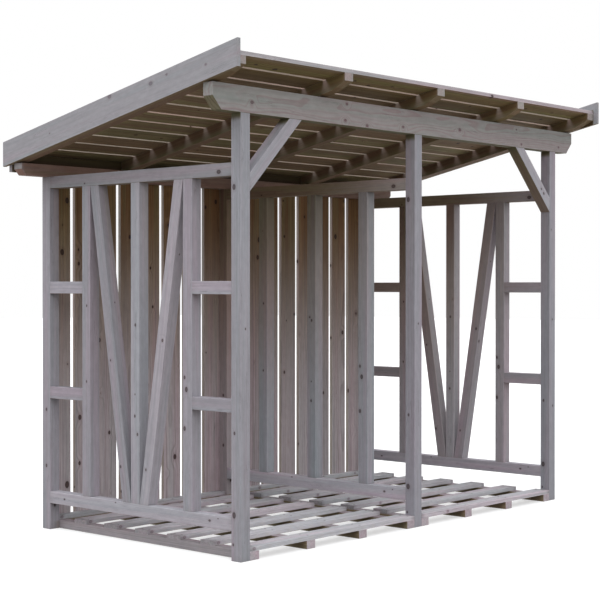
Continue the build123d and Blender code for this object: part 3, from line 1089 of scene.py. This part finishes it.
# %% Boards of one node
def loose_boards(name, ways):
    """The reach of each separate board of a node along three directions, in order."""
    joined = bmesh.new()
    joined.from_mesh(boards[name].data)
    bmesh.ops.remove_doubles(joined, verts=joined.verts, dist=split_corners)
    unseen = set(joined.verts)
    found = []
    while unseen:
        waiting = [unseen.pop()]
        group = []
        while waiting:
            vert = waiting.pop()
            group.append(vert.co.copy())
            linked = {edge.other_vert(vert) for edge in vert.link_edges} & unseen
            unseen -= linked
            waiting.extend(linked)
        found.append([(min(way.dot(co) for co in group), max(way.dot(co) for co in group)) for way in ways])
    joined.free()
    return sorted(found)


def mid(reach):
    """The middle of one reach."""
    return (reach[0] + reach[1]) / 2


X, Y, Z = Vector((1, 0, 0)), Vector((0, 1, 0)), Vector((0, 0, 1))
roof_ways = (X, slope_way, roof_up)
rafter_lines = [mid(rafter[0]) for rafter in loose_boards("rafters", roof_ways)]
print("rafters stand at", [round(x, 3) for x in rafter_lines])

# %% Screws in the roof
aside_on_roof, fascia_share = 0.022, 0.2
screw_places = []


def two_screws(place, way, aside, out):
    """One screw on each side of a place; out is where their heads look."""
    screw_places.extend((place + way * step, out) for step in (-aside, aside))


for board in loose_boards("roof_boards", roof_ways):
    for x in rafter_lines:
        place = X * x + slope_way * mid(board[1]) + roof_up * board[2][1]
        two_screws(place, slope_way, aside_on_roof, roof_up)
_, fascia_depth, fascia_height = zip(*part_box("rear_fascia"))
aside_on_fascia = fascia_share * (fascia_height[1] - fascia_height[0])
for x in rafter_lines:
    two_screws(Vector((x, fascia_depth[1], mid(fascia_height))), Z, aside_on_fascia, Y)
print("screws in the roof:", len(screw_places))

# %% Screws in the walls and floors
aside_on_wall, aside_on_slat = 0.025, 0.018
beam_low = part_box("rear_beam")[0]
for side in ("left", "right"):
    foot = mid((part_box(side + "_back_boards")[0][2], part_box(side + "_floor_bearers")[1][2]))
    for board in loose_boards(side + "_back_boards", (X, Y, Z)):
        for z in (foot, mid((beam_low[2], board[2][1]))):
            two_screws(Vector((mid(board[0]), board[1][1], z)), X, aside_on_wall, Y)
    bearer_lines = [mid(bearer[0]) for bearer in loose_boards(side + "_floor_bearers", (X, Y, Z))]
    for slat in loose_boards(side + "_floor_slats", (X, Y, Z)):
        for x in bearer_lines:
            two_screws(Vector((x, mid(slat[1]), slat[2][1])), Y, aside_on_slat, Z)
print("screws in all:", len(screw_places))

# %% [markdown]
# A screw head is a flat cone with a cross recess. The head is drawn one quadrant at a time,
# four times round: a quarter of the rim, a quarter of the cross, and the walls between them.
# A picture of a cross would look printed from near by. All the heads go into one mesh,
# because hundreds of separate objects would only slow the scene down, and each is turned
# differently, as a screwdriver leaves them.

# %% One screw head
head_radius, head_height, top_share, arc_steps = 0.0038, 0.0006, 0.9, 4
recess_reach, recess_half, recess_floor = 0.0022, 0.0005, 0.0001
quarter_turn = math.pi / 2
rim_steps = [step * quarter_turn / arc_steps for step in range(arc_steps + 1)]
rim_line = [(math.cos(step), math.sin(step)) for step in rim_steps]
recess_line = ((0, recess_reach), (recess_half, recess_reach), (recess_half, recess_half),
               (recess_reach, recess_half), (recess_reach, 0))


def band(mesh, upper, lower):
    """Close the band between two lines of corners."""
    for near, far, low_far, low_near in zip(upper, upper[1:], lower[1:], lower):
        mesh.faces.new((near, far, low_far, low_near))


def screw_head(mesh, place, out, turn):
    """One countersunk head with a cross recess, standing a hair proud of the wood."""
    side = out.orthogonal().normalized()
    other = out.cross(side)

    def corners(line, angle, height, scale=1.0):
        """New corners along a line of one quadrant, at a height over the wood."""
        ahead = side * math.cos(angle) + other * math.sin(angle)
        across = other * math.cos(angle) - side * math.sin(angle)
        return [mesh.verts.new(place + (ahead * u + across * v) * scale + out * height) for u, v in line]

    floor_line = []
    for quadrant in range(4):
        angle = turn + quadrant * quarter_turn
        arc = corners(rim_line, angle, head_height, head_radius * top_share)
        foot = corners(rim_line, angle, -head_height, head_radius)
        lip = corners(recess_line, angle, head_height)
        sunk = corners(recess_line, angle, recess_floor)
        mesh.faces.new(arc + lip)
        band(mesh, lip, sunk)
        band(mesh, foot, arc)
        floor_line += sunk[-2:0:-1] + sunk[:1]
    mesh.faces.new(floor_line)


print("a head is", round(head_radius * 2000, 1), "mm across")

# %% Set all the heads
next_turn = 2.4
heads = bmesh.new()
for number, (place, out) in enumerate(screw_places):
    screw_head(heads, place, out, number * next_turn)
bmesh.ops.remove_doubles(heads, verts=heads.verts, dist=split_corners)
bmesh.ops.recalc_face_normals(heads, faces=heads.faces)
screws = bpy.data.objects.new("screws", bpy.data.meshes.new("screws"))
heads.to_mesh(screws.data)
heads.free()
scene.collection.objects.link(screws)
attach(screws, "root")
print("faces on all the heads:", len(screws.data.polygons))

# %% [markdown]
# Zinc-plated screws lose their shine in the first winter. A dull grey metal with a spotty
# roughness, a little darker where damp sat on it, sinks into the weathered wood as the real
# heads do. Bright metal would draw the eye to every crossing.

# %% Dulled zinc
zinc, tree, metal = new_finish("dulled_zinc")
spots = grey_noise(add(tree, "ShaderNodeTexCoord").outputs["Object"], (700, 700, 700), 3)
spotted = mixed(ease(spots, 0.35, 0.65), colour(0.17, 0.16, 0.155), colour(0.30, 0.29, 0.285))
feed(metal.inputs["Base Color"], spotted)
feed(metal.inputs["Roughness"], ease(spots, 0.3, 0.7, 0.65, 0.42))
metal.inputs["Metallic"].default_value = 0.8
dents = add(tree, "ShaderNodeBump", {"Strength": 0.3, "Distance": 0.0001, "Height": spots})
feed(metal.inputs["Normal"], dents.outputs["Normal"])
screws.data.materials.append(zinc)
print("nodes in the zinc:", len(tree.nodes))
